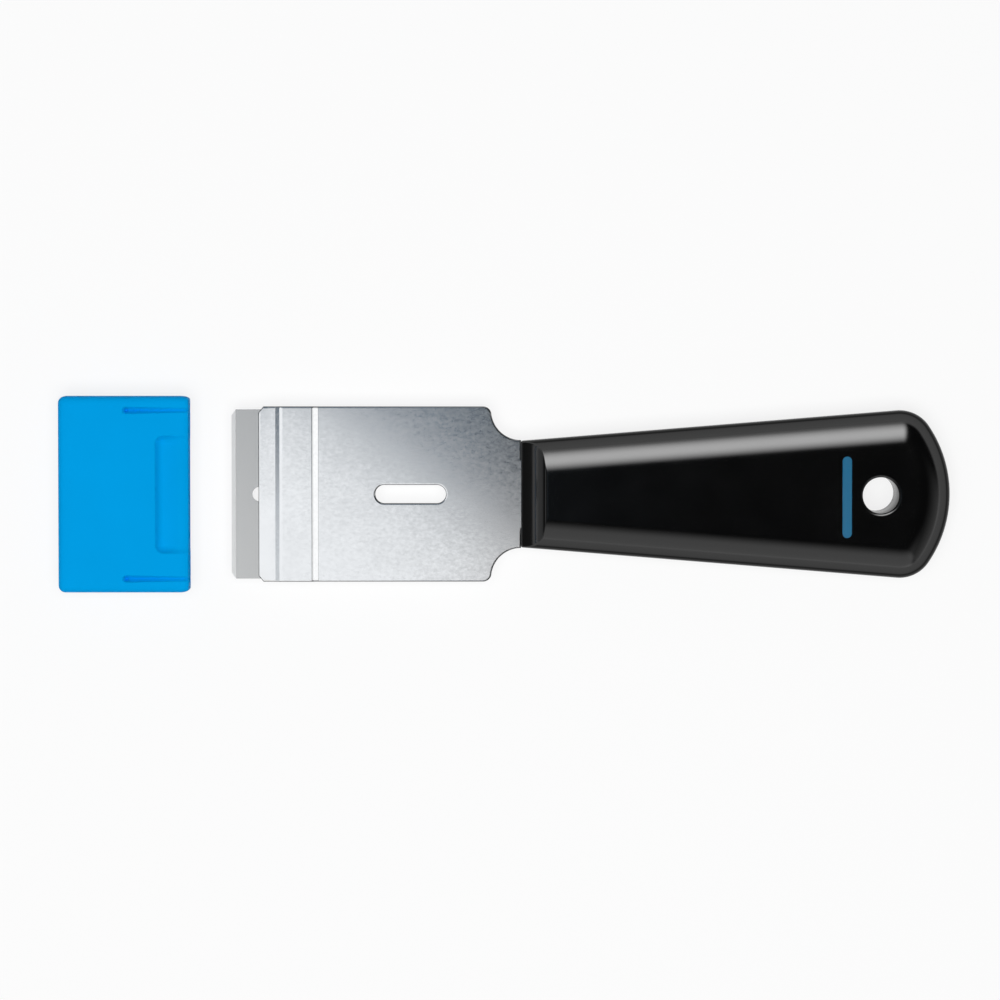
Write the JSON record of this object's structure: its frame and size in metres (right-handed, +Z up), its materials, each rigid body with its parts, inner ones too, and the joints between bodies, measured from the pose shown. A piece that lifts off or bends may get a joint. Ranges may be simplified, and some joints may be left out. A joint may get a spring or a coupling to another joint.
{
  "type": "razor blade scraper",
  "caption": "Flat hand scraper that holds a single-edge razor blade between sprung steel leaves, with a tapered plastic handle, a hanging hole and a push-on blade cap.",
  "frame": {"origin": "centre of the whole tool's footprint, on the plane that the handle lies on, with the cap taken off", "axes": "+X from the cap along the tool to the handle's tail, +Z up, square to the blade's face"},
  "size_m": [0.2048, 0.045, 0.017],
  "materials": {
    "handle_plastic": "moulded, glossy black",
    "leaf_steel": "cold-rolled sheet, satin",
    "blade_steel": "hardened strip, dull, with a ground edge",
    "spine_metal": "folded strip, satin",
    "cap_plastic": "moulded, satin blue"
  },
  "bodies": {
    "scraper": {"handle": "handle_plastic", "upper_leaf": "leaf_steel", "lower_leaf": "leaf_steel"},
    "razor": {"blade": "blade_steel", "blade_spine": "spine_metal"},
    "cap": {"blade_cap": "cap_plastic"}
  },
  "joints": [
    {"name": "blade_slide", "type": "slide", "parent": "scraper", "child": "razor", "axis": [0, 1, 0], "range_m": [-0.046, 0.046]},
    {"name": "cap_slide", "type": "slide", "parent": "razor", "child": "cap", "axis": [1, 0, 0], "range_m": [0, 0.0365]}
  ]
}
